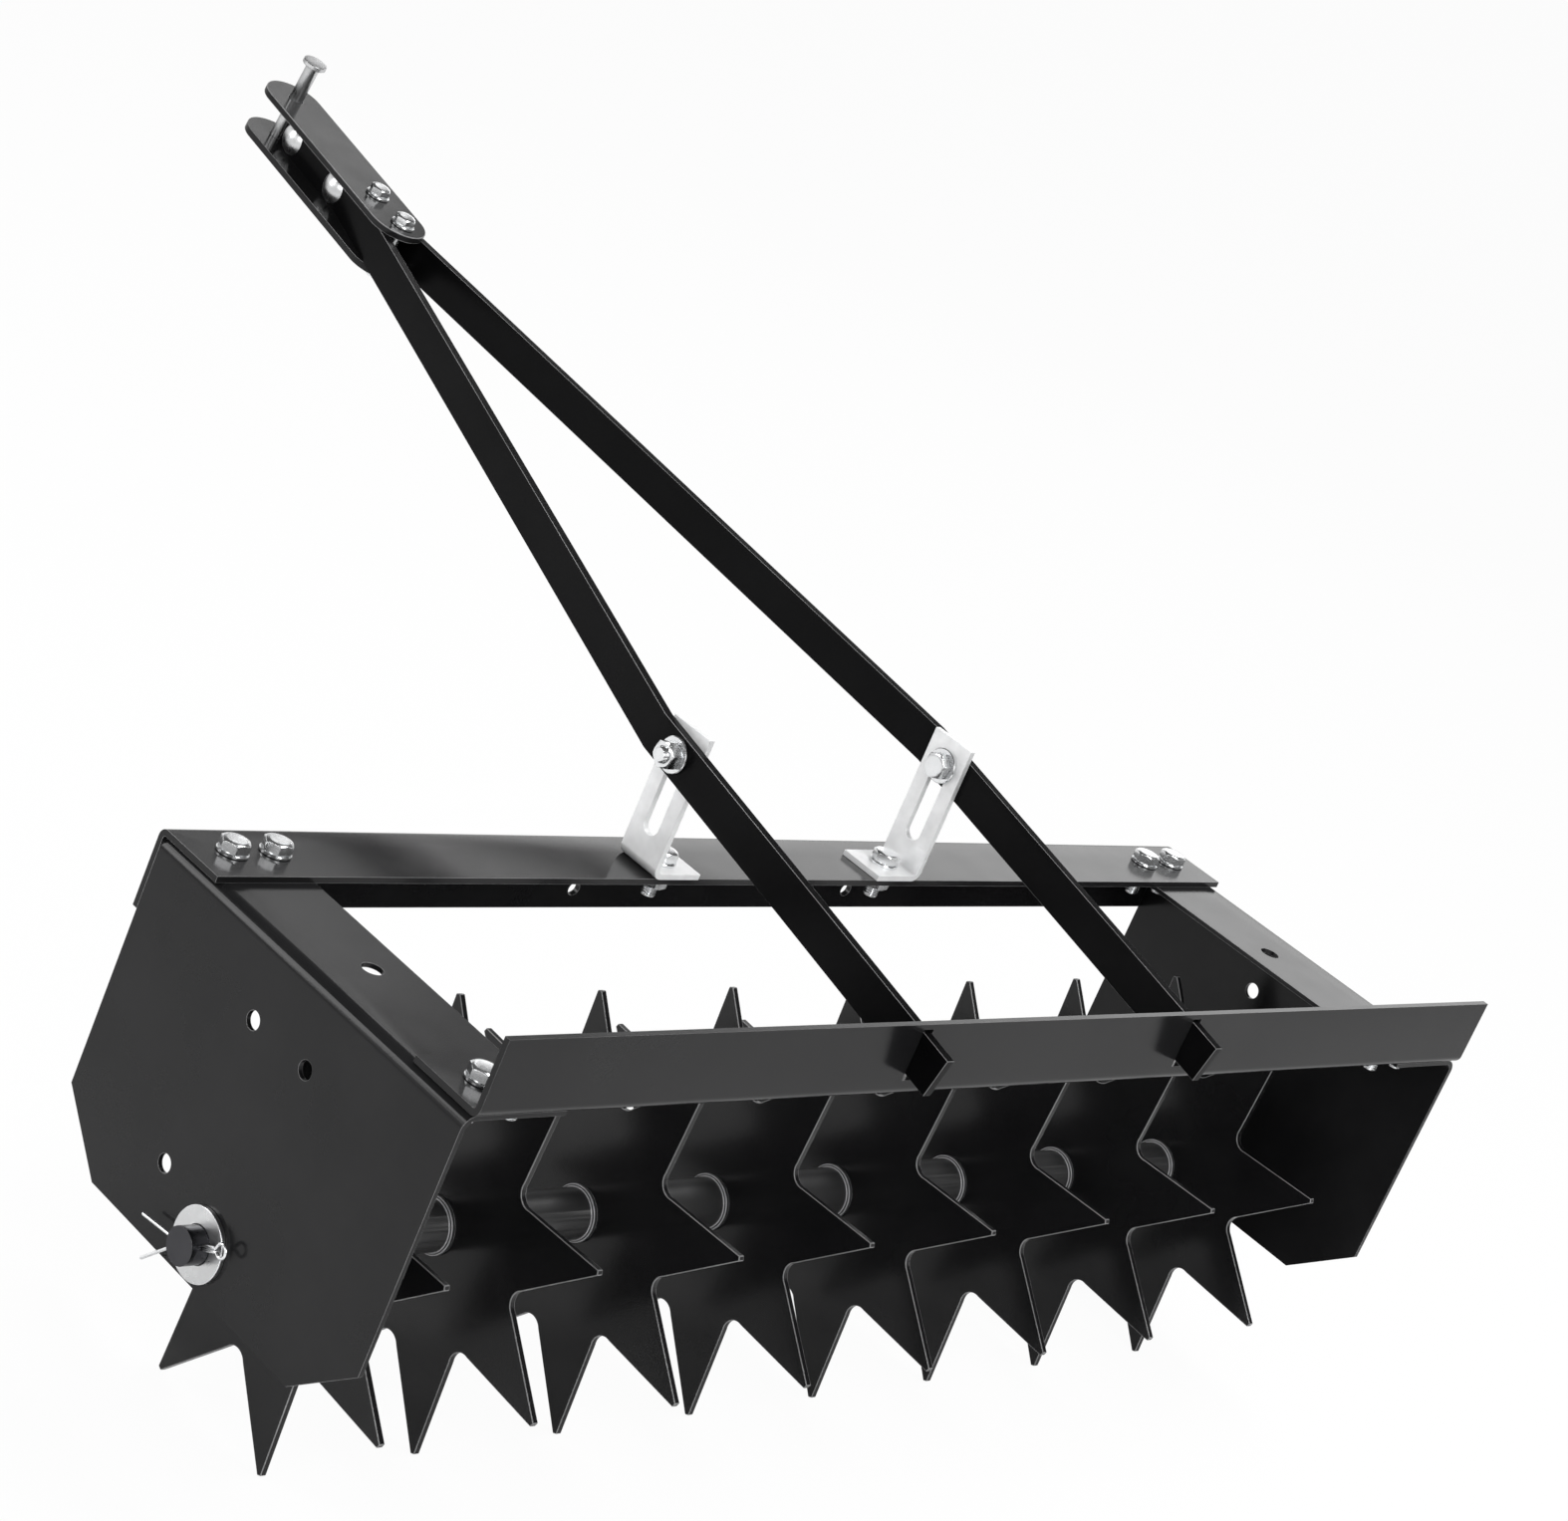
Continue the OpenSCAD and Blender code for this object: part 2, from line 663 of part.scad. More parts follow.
module hitch_nuts() {
    color(zinc) at_hitch_bolts() translate([0, 0, -hitch_grip - small_nut_h])
        hex_nut(small_bolt_d, small_bolt_af, small_nut_h);
}

module hitch_pin() {
    color(zinc) on_drawbar() translate([0, pin_at, strap_h / 2 + hitch_t + pin_lift]) {
        cylinder(d = pin_head_d, h = pin_head_h);
        translate([0, 0, -pin_len]) cylinder(d = pin_d, h = pin_len + pin_head_h / 2);
    }
}

translate([0, -mid_y, 0]) {
    left_end_plate();
    right_end_plate();
    rear_cross_angle();
    front_cross_angle();
    frame_bolts();
    frame_washers();
    frame_nuts();
    axle();
    axle_washer_left();
    axle_washer_right();
    cotter_pin_left();
    cotter_pin_right();
    end_spacer();
    for (k = wheel_names) {
        star_wheel(k);
        hub_tube(k);
    }
    slotted_bracket_left();
    slotted_bracket_right();
    bracket_bolts();
    bracket_washers();
    bracket_nuts();
    drawbar_strap_left();
    drawbar_strap_right();
    strap_bolts();
    strap_washers();
    strap_nuts();
    upper_hitch_plate();
    lower_hitch_plate();
    carriage_bolts();
    carriage_nuts();
    hitch_bolts();
    hitch_washers();
    hitch_nuts();
    hitch_pin();
}
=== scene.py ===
import json
import math

import bmesh
import bpy
import numpy as np
from mathutils import Matrix, Vector


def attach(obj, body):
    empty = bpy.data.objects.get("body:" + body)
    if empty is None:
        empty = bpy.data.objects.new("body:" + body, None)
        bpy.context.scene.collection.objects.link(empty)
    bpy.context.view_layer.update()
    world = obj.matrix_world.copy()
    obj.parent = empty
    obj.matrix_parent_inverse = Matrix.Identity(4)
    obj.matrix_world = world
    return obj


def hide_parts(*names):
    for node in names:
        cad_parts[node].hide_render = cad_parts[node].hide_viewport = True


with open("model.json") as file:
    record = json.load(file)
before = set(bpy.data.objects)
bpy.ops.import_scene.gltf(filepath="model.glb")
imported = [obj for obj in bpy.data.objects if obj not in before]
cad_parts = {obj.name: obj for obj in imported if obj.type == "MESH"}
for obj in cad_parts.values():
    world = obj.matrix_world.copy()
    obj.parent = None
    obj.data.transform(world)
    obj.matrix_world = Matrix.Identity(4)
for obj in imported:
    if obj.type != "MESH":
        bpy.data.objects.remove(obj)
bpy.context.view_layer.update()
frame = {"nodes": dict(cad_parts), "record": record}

MM = 0.001
BODY_OF = {node: body for body, nodes in frame["record"]["behaviour"]["bodies"].items()
           for node in nodes}

# Frame sizes in millimetres, the same as in the part's source. The frame's middle is over the
# axle, and the axle lies behind the middle of the whole machine.
FRAME_TOP = 293.526
AXLE_Z = 122.526
AXLE_Y = -320.901
HALF_DEPTH = 140
PLATE_T = 3
ANGLE_T = 4
FRAME_BOLT_XS = (422, 392)
FRAME_BOLT_Y = 115
SLIDE_GAP = 0.3
WHEEL_COUNT = 8

# Cotter pins: their place along the axle, and the wire that one is bent from
AXLE_D = 22
COTTER_X = 457
COTTER_TURN = math.radians(-27)
COTTER_WIRE_R = 1.0
COTTER_EYE_R = 4.0
COTTER_LEG = 32
COTTER_SPREAD = math.radians(20)
COTTER_NECK = 11

# Its path has points this far apart, each the mean of this many on either side
COTTER_STEP = 0.35
COTTER_REACH = 4

# Drawbar straps and the slotted brackets that hold them
STRAP_T = 6
STRAP_H = 26.5
STRAP_X = 122
STRAP_SLOPE = math.radians(11.85)
STRAP_RISE = 28
BRACKET_Y = 104
BRACKET_T = 4
BRACKET_FOOT = 40
BRACKET_FOOT_X = STRAP_X - SLIDE_GAP - BRACKET_FOOT / 2
STRAP_BOLT_AT = (BRACKET_Y + HALF_DEPTH + ANGLE_T) / math.cos(STRAP_SLOPE)

# Hitch: places are distances along the drawbar from the rear angle's face. The carriage bolts
# are plain for their first millimetres, and their thread has a pitch of its own.
HITCH_T = 5
HITCH_TOP = STRAP_H / 2 + HITCH_T
HITCH_BOLT_AT = (793.129, 828.129)
CARRIAGE_AT = (864.5, 923.5)
CARRIAGE_HEAD_D = 22
CARRIAGE_GAP = 0.4
CARRIAGE_N = CARRIAGE_HEAD_D / 2 + CARRIAGE_GAP - STRAP_H / 2
CARRIAGE_PLAIN = 8
CARRIAGE_PITCH = 1.25
PIN_AT = 946
PIN_D = 10
PIN_LEN = 64
PIN_LIFT = 28
PIN_HEAD_D = 17.5
PIN_HEAD_H = 3.5

# Bolts, nuts and washers
BOLT_D = 10
BOLT_AF = 16
BOLT_LEN = 25
SMALL_BOLT_D = 8
SMALL_BOLT_AF = 13
WASHER_T = 2
FRAME_WASHER_D = 19
STRAP_WASHER_D = 23
SMALL_WASHER_D = 17
HOLE_CLEAR = 1
THREAD_OUT = 3
SMALL_THREAD_OUT = 1

# Shares of a bolt's diameter: its head's and its nut's height, and its thread's pitch
HEAD_SHARE = 0.64
NUT_SHARE = 0.8
PITCH_SHARE = 0.15
NUT_H = NUT_SHARE * BOLT_D
SMALL_NUT_H = NUT_SHARE * SMALL_BOLT_D

# A thread is this many nuts long and this share of its pitch deep, and runs out at this slope
THREADED_NUTS = 2.4
THREAD_DEPTH = 0.54
THREAD_RUN_OUT = 0.8

# Hexagons end in a 30 degree chamfer that runs in to this share of half the flats
CHAMFER = math.pi / 6
RIM_SHARE = 0.93

# A shank starts this far inside its bolt's head
ROOT_IN_HEAD = 0.5

# How finely shapes are made: points in a turn, rings along a shape, points along a cotter pin's
# straight parts and eye, and steps of a rounded edge
TURNED_SIDES = 72
BAR_SIDES = 24
WIRE_SIDES = 12
CHAMFER_RINGS = 7
NUT_RINGS = 6
DOME_RINGS = 9
RINGS_PER_PITCH = 6
LEG_POINTS = 14
EYE_POINTS = 40
EDGE_STEPS = 2

# Radii in millimetres of the edges that blasting and coating have rounded
SHEET_ROUND = 0.6
TUBE_ROUND = 0.6
WHEEL_ROUND = 0.5
WASHER_ROUND = 0.5
SPACER_ROUND = 0.5
BRACKET_ROUND = 0.4
AXLE_ROUND = 1.2

UP = np.array([0.0, 0.0, 1.0])
RIGHT = np.array([1.0, 0.0, 0.0])
DRAWBAR_UP = np.array([0, -math.sin(STRAP_SLOPE), math.cos(STRAP_SLOPE)])


def point(x, y, z):
    """The place x, y and z millimetres from the spot on the ground under the axle's middle."""
    return np.array([x, y + AXLE_Y, z]) * MM


def drawbar_point(x, s, n):
    """A place on the sloping drawbar: s along it from the rear angle's face, n across it."""
    y = -HALF_DEPTH - ANGLE_T + s * math.cos(STRAP_SLOPE) - n * math.sin(STRAP_SLOPE)
    z = FRAME_TOP + STRAP_RISE + s * math.sin(STRAP_SLOPE) + n * math.cos(STRAP_SLOPE)
    return point(x, y, z)


# Surfaces

def grid_faces(rows, cols, close_rows=False):
    """Quads of a grid of points: each joins point (i, j) to its neighbours in the next row and
    the next column. Columns wrap round, and rows do where the shape is closed."""
    i = np.arange(rows if close_rows else rows - 1)
    j = np.arange(cols)
    a, b = np.meshgrid(i, j, indexing="ij")
    c, d = (a + 1) % rows, (b + 1) % cols
    return np.stack([a * cols + b, c * cols + b, c * cols + d, a * cols + d], -1).reshape(-1, 4)


def turn_round(axis, sides):
    """Angles spaced evenly round an axis of length one, and the direction out from it at each:
    cos(angle) times one direction square to the axis plus sin(angle) times the other."""
    crosswise = abs(axis[0]) > 0.9
    first = np.cross(axis, DRAWBAR_UP if crosswise else RIGHT)
    first /= np.linalg.norm(first)
    second = np.cross(axis, first)
    a = np.arange(sides) * 2 * math.pi / sides
    return a, np.cos(a)[:, None] * first + np.sin(a)[:, None] * second


def rings(place, axis, heights, radii, flat=None, sides=TURNED_SIDES, closed=False):
    """A turned shape: ring k lies at heights[k] along the axis with radii[k]. Where flat is given,
    the radius at angle a is no more than flat / cos(angle from the middle of the nearest of six
    flats), which makes a hexagon with the turned shape's chamfers."""
    a, out = turn_round(axis, sides)
    r = np.repeat(np.asarray(radii, float)[:, None], sides, 1)
    if flat is not None:
        off = (a + math.pi / 6) % (math.pi / 3) - math.pi / 6
        r = np.minimum(r, flat / np.cos(off))
    h = np.asarray(heights, float)[:, None, None] * axis
    points = place + (h + r[:, :, None] * out) * MM
    return points.reshape(-1, 3), grid_faces(len(heights), sides, closed)


def thread(place, axis, diameter, pitch, start, end):
    """A threaded end: at angle a and height h the radius is half the diameter less the thread's
    depth times a triangle wave of h / pitch - a / one turn, and it runs out to a chamfer at the
    end."""
    depth = THREAD_DEPTH * pitch
    a, out = turn_round(axis, BAR_SIDES)
    h = np.linspace(start, end, int(abs(end - start) / pitch * RINGS_PER_PITCH) + 2)
    wave = np.abs(((h[:, None] / pitch - a / (2 * math.pi)) % 1) * 2 - 1)
    left = np.abs(end - h)[:, None]
    r = np.minimum(diameter / 2 - depth * wave, diameter / 2 - depth + left * THREAD_RUN_OUT)
    h = np.concatenate([h[:1], h, h[-1:]])
    r = np.concatenate([r[:1] * 0, r, r[-1:] * 0])
    points = place + (h[:, None, None] * axis + r[:, :, None] * out) * MM
    return points.reshape(-1, 3), grid_faces(len(h), BAR_SIDES)


def shank(under_head, down, diameter, length):
    """A bolt's plain shank: a round bar that starts a little inside the head."""
    r = diameter / 2
    return rings(under_head, down, [-ROOT_IN_HEAD, -ROOT_IN_HEAD, length, length], [0, r, r, 0],
                 sides=BAR_SIDES)


def wire(path, radius, side):
    """A round wire: a circle of that radius, square to the path, carried along its points. side
    is a direction square to the whole path. The ends close to a point with a rounded tip."""
    tip = 0.6 * radius
    ahead = np.gradient(path, axis=0)
    ahead /= np.linalg.norm(ahead, axis=1, keepdims=True)
    other = np.cross(ahead, side)
    path = np.concatenate([path[:1] - ahead[:1] * tip, path, path[-1:] + ahead[-1:] * tip])
    size = np.pad(np.full(len(path) - 2, radius), 1)
    other = np.concatenate([other[:1], other, other[-1:]])
    a = np.arange(WIRE_SIDES) * 2 * math.pi / WIRE_SIDES
    out = np.cos(a)[:, None] * side + np.sin(a)[:, None] * other[:, None, :]
    points = path[:, None, :] + size[:, None, None] * out
    return points.reshape(-1, 3), grid_faces(len(path), WIRE_SIDES)


def hex_head(place, axis, diameter, flats):
    """A bolt's head, from its foot up: a round washer face, six flats, and a top that domes a
    little. The chamfer's radius runs straight from the corners, at half the flats / cos(30
    degrees), in to the rim, and its height falls by tan(30 degrees) of that run."""
    height = HEAD_SHARE * diameter
    half = flats / 2
    corner = half / math.cos(CHAMFER)
    rim = RIM_SHARE * half
    drop = (corner - rim) * math.tan(CHAMFER)
    foot_h, foot_r = 0.05 * height, 0.95 * half
    past_corner, under_slope = 1.15 * half, 0.15
    dome_r, dome_low, dome_high = 0.7 * half, 0.12, 0.2
    cut = np.linspace(0, 1, CHAMFER_RINGS)
    heights = [0, 0, foot_h, foot_h + under_slope, *(height - drop * (1 - cut)),
               height + dome_low, height + dome_high]
    radii = [0, foot_r, foot_r, past_corner, *(corner * (1 - cut) + rim * cut), dome_r, 0]
    return rings(place, axis, heights, radii, flat=half)


def hex_nut(place, axis, diameter, flats):
    """A nut: six flats chamfered at both ends as a bolt's head is at one, round a bore with
    countersunk mouths."""
    height = NUT_SHARE * diameter
    half = flats / 2
    corner = half / math.cos(CHAMFER)
    rim = RIM_SHARE * half
    drop = (corner - rim) * math.tan(CHAMFER)
    bore, sink = diameter / 2, 0.6
    cut = np.linspace(0, 1, NUT_RINGS)
    heights = [sink, 0, *(drop * cut), *(height - drop * (1 - cut)), height, height - sink]
    radii = [bore, bore + sink, *(rim * (1 - cut) + corner * cut),
             *(corner * (1 - cut) + rim * cut), bore + sink, bore]
    return rings(place, axis, heights, radii, flat=half, closed=True)


def washer(place, axis, diameter, outer_d):
    """A washer stamped from sheet, for a bolt of that diameter: a flat ring whose outer corners
    are rolled over by a quarter of its thickness."""
    soft = WASHER_T / 4
    bore, outer = (diameter + HOLE_CLEAR) / 2, outer_d / 2
    heights = [0, 0, soft, WASHER_T - soft, WASHER_T, WASHER_T]
    radii = [bore, outer - soft, outer, outer, outer - soft, bore]
    return rings(place, axis, heights, radii, closed=True)


def bolt(under_head, axis, diameter, flats, length):
    """A hex bolt: its head's underside is at under_head, and its shank runs against the axis and
    carries thread at its end."""
    plain = max(length - THREADED_NUTS * NUT_SHARE * diameter, WASHER_T)
    return [hex_head(under_head, axis, diameter, flats),
            shank(under_head, -axis, diameter, plain),
            thread(under_head, -axis, diameter, PITCH_SHARE * diameter, plain, length)]


# Materials

# Noise mostly stays between these two values, which are spread over a finish's whole range
NOISE_LOW, NOISE_HIGH = 0.3, 0.7

# Finish of the coat: the scales of its clouds in colour and gloss, how far its roughness drifts,
# and the depth of its orange peel in metres
COAT_CLOUDS = 14
COAT_GLOSS = 40
COAT_GLOSS_RANGE = (-0.015, 0.02)
PEEL_DEPTH = 0.00006
PEEL_STRENGTH = 0.25

# Finish of the zinc: the scales of its crystals in tone and gloss, how far its roughness drifts,
# how much its darker crystals are dulled, and the depth of its working marks in metres
ZINC_CLOUDS = 85
ZINC_GLOSS = 160
ZINC_GLOSS_RANGE = (-0.05, 0.06)
ZINC_DULL = 0.88
MARK_DEPTH = 0.00002
MARK_STRENGTH = 0.2

# Scale of the orange peel and of the working marks
FINE_GRAIN = 700


def material(name, colour, roughness, metallic, specular):
    """A principled material; returns it with its node tree and shader."""
    mat = bpy.data.materials.new(name)
    mat.use_nodes = True
    tree = mat.node_tree
    shader = tree.nodes["Principled BSDF"]
    shader.inputs["Base Color"].default_value = (*colour, 1)
    shader.inputs["Roughness"].default_value = roughness
    shader.inputs["Metallic"].default_value = metallic
    shader.inputs["Specular IOR Level"].default_value = specular
    return mat, tree, shader


def noise(tree, scale, detail=3.0, stretch=None):
    """Noise on object coordinates; stretch squeezes it along chosen axes."""
    coords = tree.nodes.new("ShaderNodeTexCoord")
    tex = tree.nodes.new("ShaderNodeTexNoise")
    tex.inputs["Scale"].default_value = scale
    tex.inputs["Detail"].default_value = detail
    if stretch is None:
        tree.links.new(coords.outputs["Object"], tex.inputs["Vector"])
    else:
        mapping = tree.nodes.new("ShaderNodeMapping")
        mapping.inputs["Scale"].default_value = stretch
        tree.links.new(coords.outputs["Object"], mapping.inputs["Vector"])
        tree.links.new(mapping.outputs["Vector"], tex.inputs["Vector"])
    return tex.outputs["Fac"]


def clouded_colour(tree, shader, factor, dark, light):
    """A base colour that drifts between dark and light with the noise."""
    node = tree.nodes.new("ShaderNodeValToRGB")
    for element, place, colour in zip(node.color_ramp.elements, (NOISE_LOW, NOISE_HIGH),
                                      (dark, light)):
        element.position = place
        element.color = (*colour, 1)
    tree.links.new(factor, node.inputs["Fac"])
    tree.links.new(node.outputs["Color"], shader.inputs["Base Color"])


def clouded_gloss(tree, shader, factor, low, high):
    """A roughness that drifts between low and high with the noise."""
    node = tree.nodes.new("ShaderNodeMapRange")
    node.inputs["From Min"].default_value = NOISE_LOW
    node.inputs["From Max"].default_value = NOISE_HIGH
    node.inputs["To Min"].default_value = low
    node.inputs["To Max"].default_value = high
    tree.links.new(factor, node.inputs["Value"])
    tree.links.new(node.outputs["Result"], shader.inputs["Roughness"])


def relief(tree, shader, height, depth, strength):
    """Bumps of that depth in metres."""
    node = tree.nodes.new("ShaderNodeBump")
    node.inputs["Distance"].default_value = depth
    node.inputs["Strength"].default_value = strength
    tree.links.new(height, node.inputs["Height"])
    tree.links.new(node.outputs["Normal"], shader.inputs["Normal"])


def powder_coat(name, dark, light, roughness, specular):
    """Black powder coat: a fine orange peel, with faint clouds in colour and gloss."""
    mat, tree, shader = material(name, light, roughness, 0.0, specular)
    low, high = COAT_GLOSS_RANGE
    clouded_colour(tree, shader, noise(tree, COAT_CLOUDS), dark, light)
    clouded_gloss(tree, shader, noise(tree, COAT_GLOSS), roughness + low, roughness + high)
    relief(tree, shader, noise(tree, FINE_GRAIN, 1), PEEL_DEPTH, PEEL_STRENGTH)
    return mat


def zinc_plate(name, colour, roughness, stretch=None, metallic=1.0):
    """Bright zinc plate: crystalline clouds in tone and gloss over fine working marks."""
    mat, tree, shader = material(name, colour, roughness, metallic, 0.5)
    low, high = ZINC_GLOSS_RANGE
    dull = tuple(c * ZINC_DULL for c in colour)
    clouded_colour(tree, shader, noise(tree, ZINC_CLOUDS), dull, colour)
    clouded_gloss(tree, shader, noise(tree, ZINC_GLOSS), roughness + low, roughness + high)
    relief(tree, shader, noise(tree, FINE_GRAIN, 1, stretch), MARK_DEPTH, MARK_STRENGTH)
    return mat


black_coat = powder_coat("black_powder_coat", dark=(0.008, 0.008, 0.0085),
                         light=(0.013, 0.013, 0.0135), roughness=0.17, specular=0.2)
# A darker, less glossy copy of the black coat for the straps: painted shade
shaded_strap_coat = powder_coat("strap_black_coat_shaded", dark=(0.002, 0.002, 0.0022),
                         light=(0.004, 0.004, 0.0043), roughness=0.24, specular=0.06)
# A slightly darker copy of the black coat for the wheels: painted shade
shaded_wheel_coat = powder_coat("wheel_black_coat_shaded", dark=(0.006, 0.006, 0.0065),
                         light=(0.011, 0.011, 0.0115), roughness=0.18, specular=0.3)
# A lighter and glossier copy of the black coat for the hub tubes and end spacer; its lighter tone
# is a painted sheen
sheen_tube_coat = powder_coat("tube_black_coat_sheen", dark=(0.014, 0.014, 0.0145),
                        light=(0.022, 0.022, 0.0225), roughness=0.36, specular=1.0)
# Light grey coat on the hub tubes' rounded collar edges: a painted highlight
painted_collar_highlight = powder_coat("collar_painted_highlight", dark=(0.25, 0.25, 0.255),
                          light=(0.4, 0.4, 0.41), roughness=0.25, specular=1.0)
# Lighter grey coat on the rounded edges of the black sheet metal and wheels: a painted highlight
painted_edge_highlight = powder_coat("black_edge_painted_highlight", dark=(0.14, 0.14, 0.142),
                          light=(0.28, 0.28, 0.283), roughness=0.26, specular=0.5)
bracket_zinc = zinc_plate("bracket_zinc", (0.94, 0.945, 0.95), roughness=0.46, metallic=0.55)
bolt_zinc = zinc_plate("bolt_zinc", (0.86, 0.87, 0.88), roughness=0.22)
dull_zinc = zinc_plate("dull_zinc", (0.66, 0.665, 0.67), roughness=0.3)
axle_steel = zinc_plate("dark_axle_steel", (0.06, 0.06, 0.065), roughness=0.22,
                        stretch=(1, 0.05, 0.05))


# Pieces

# Edges that bend by less than this many degrees are shaded smooth
SMOOTH_UNDER = 30
WIRE_SMOOTH_UNDER = 60

# CAD faces that meet at less than the first angle are one flat face, and CAD edges that bend by
# more than the second get rounded
FLAT_UNDER = 0.5
ROUND_OVER = 35

# Points nearer than these, in metres, are one point
MERGE_WITHIN = 2e-6
CAD_MERGE_WITHIN = 5e-6
EMPTY_WITHIN = 1e-7


def finish_piece(name, mesh, mat, node, smooth_under=SMOOTH_UNDER):
    """Links a mesh as a piece with its material. It rides with the CAD node's body and stands for
    the node, which it hides."""
    mesh.shade_smooth()
    mesh.set_sharp_from_angle(angle=math.radians(smooth_under))
    mesh.materials.append(mat)
    piece = bpy.data.objects.new(name, mesh)
    bpy.context.scene.collection.objects.link(piece)
    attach(piece, BODY_OF[node])
    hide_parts(node)
    return piece


def close_up(mesh):
    """Merges doubled points, drops empty faces and turns all faces outwards."""
    bm = bmesh.new()
    bm.from_mesh(mesh)
    bmesh.ops.remove_doubles(bm, verts=bm.verts, dist=MERGE_WITHIN)
    bmesh.ops.dissolve_degenerate(bm, edges=bm.edges, dist=EMPTY_WITHIN)
    bmesh.ops.recalc_face_normals(bm, faces=bm.faces)
    bm.to_mesh(mesh)
    bm.free()


def add_piece(name, surfaces, mat, node, smooth_under=SMOOTH_UNDER):
    """Joins several surfaces into one piece that stands for a CAD node and rides with it."""
    points, faces, base = [], [], 0
    for surface_points, surface_faces in surfaces:
        points.append(surface_points)
        faces.append(surface_faces + base)
        base += len(surface_points)
    mesh = bpy.data.meshes.new(name)
    mesh.from_pydata(np.concatenate(points).tolist(), [], np.concatenate(faces).tolist())
    close_up(mesh)
    finish_piece(name, mesh, mat, node, smooth_under)


def softened(node, mat, radius, edge=None):
    """The CAD node with its cut edges rounded, as blasting and coating leave them. The rounding
    may take a lighter finish of its own, a painted highlight along the edge."""
    mesh = frame["nodes"][node].data.copy()
    mesh.name = node + "_coated"
    mesh.materials.clear()
    bm = bmesh.new()
    bm.from_mesh(mesh)
    bmesh.ops.remove_doubles(bm, verts=bm.verts, dist=CAD_MERGE_WITHIN)
    bmesh.ops.dissolve_limit(bm, angle_limit=math.radians(FLAT_UNDER), verts=bm.verts,
                             edges=bm.edges)
    bm.to_mesh(mesh)
    bm.free()
    piece = finish_piece(node + "_coated", mesh, mat, node)
    bevel = piece.modifiers.new("rounded edges", "BEVEL")
    bevel.width = radius * MM
    bevel.segments = EDGE_STEPS
    bevel.limit_method = "ANGLE"
    bevel.angle_limit = math.radians(ROUND_OVER)
    bevel.harden_normals = True
    if edge is not None:
        piece.data.materials.append(edge)
        bevel.material = 1


# Sheet metal, wheels and axle
# The rounded edges of plates, straps and wheels take a lighter grey coat, a painted highlight
for node in ("left_end_plate", "right_end_plate", "rear_cross_angle", "front_cross_angle",
             "upper_hitch_plate", "lower_hitch_plate"):
    softened(node, black_coat, SHEET_ROUND, painted_edge_highlight)
for node in ("drawbar_strap_left", "drawbar_strap_right"):
    softened(node, shaded_strap_coat, SHEET_ROUND, painted_edge_highlight)
for k in range(1, WHEEL_COUNT + 1):
    softened("star_wheel_%d" % k, shaded_wheel_coat, WHEEL_ROUND, painted_edge_highlight)
    softened("hub_tube_%d" % k, sheen_tube_coat, TUBE_ROUND, painted_collar_highlight)
softened("end_spacer", sheen_tube_coat, SPACER_ROUND)
for node in ("slotted_bracket_left", "slotted_bracket_right"):
    softened(node, bracket_zinc, BRACKET_ROUND)
# The washers' rounded rims take the brighter bolt zinc, and the axle's rounded ends the dull zinc
# over its dark steel: a painted highlight on both
for node in ("axle_washer_left", "axle_washer_right"):
    softened(node, dull_zinc, WASHER_ROUND, bolt_zinc)
softened("axle", axle_steel, AXLE_ROUND, dull_zinc)


def upright_bolts(name, spots, clamped):
    """Bolts that stand on the cross angles: each head lies on a washer at its spot, and each nut
    under the clamped thickness below the spot."""
    bolts = []
    for x, y, z in spots:
        bolts += bolt(point(x, y, z + WASHER_T), UP, BOLT_D, BOLT_AF, BOLT_LEN)
    nuts = [hex_nut(point(x, y, z - clamped), -UP, BOLT_D, BOLT_AF) for x, y, z in spots]
    washers = [washer(point(x, y, z), UP, BOLT_D, FRAME_WASHER_D) for x, y, z in spots]
    add_piece(name + "_bolts_threaded", bolts, bolt_zinc, name + "_bolts")
    add_piece(name + "_nuts_chamfered", nuts, bolt_zinc, name + "_nuts")
    add_piece(name + "_washers_rolled", washers, bolt_zinc, name + "_washers")


def strap_bolts():
    """On each side a bolt from inside, through the bracket's slot and the strap."""
    inner = STRAP_X - SLIDE_GAP - BRACKET_T - SLIDE_GAP - WASHER_T
    outer = STRAP_X + STRAP_T
    length = outer + WASHER_T + NUT_H + THREAD_OUT - inner
    bolts, nuts, washers = [], [], []
    for side in (-1, 1):
        away = RIGHT * side
        bolts += bolt(drawbar_point(side * inner, STRAP_BOLT_AT, 0), -away, BOLT_D, BOLT_AF,
                      length)
        nuts.append(hex_nut(drawbar_point(side * (outer + WASHER_T), STRAP_BOLT_AT, 0), away,
                            BOLT_D, BOLT_AF))
        for x in (inner, outer):
            washers.append(washer(drawbar_point(side * x, STRAP_BOLT_AT, 0), away, BOLT_D,
                                  STRAP_WASHER_D))
    add_piece("strap_bolts_threaded", bolts, bolt_zinc, "strap_bolts")
    add_piece("strap_nuts_chamfered", nuts, bolt_zinc, "strap_nuts")
    add_piece("strap_washers_rolled", washers, bolt_zinc, "strap_washers")


def hitch_bolts():
    """Two small bolts down through both hitch plates, between the straps."""
    length = 2 * HITCH_TOP + WASHER_T + SMALL_NUT_H + SMALL_THREAD_OUT
    bolts, nuts, washers = [], [], []
    for s in HITCH_BOLT_AT:
        bolts += bolt(drawbar_point(0, s, HITCH_TOP + WASHER_T), DRAWBAR_UP, SMALL_BOLT_D,
                      SMALL_BOLT_AF, length)
        nuts.append(hex_nut(drawbar_point(0, s, -HITCH_TOP), -DRAWBAR_UP, SMALL_BOLT_D,
                            SMALL_BOLT_AF))
        washers.append(washer(drawbar_point(0, s, HITCH_TOP), DRAWBAR_UP, SMALL_BOLT_D,
                              SMALL_WASHER_D))
    add_piece("hitch_bolts_threaded", bolts, bolt_zinc, "hitch_bolts")
    add_piece("hitch_nuts_chamfered", nuts, bolt_zinc, "hitch_nuts")
    add_piece("hitch_washers_rolled", washers, bolt_zinc, "hitch_washers")


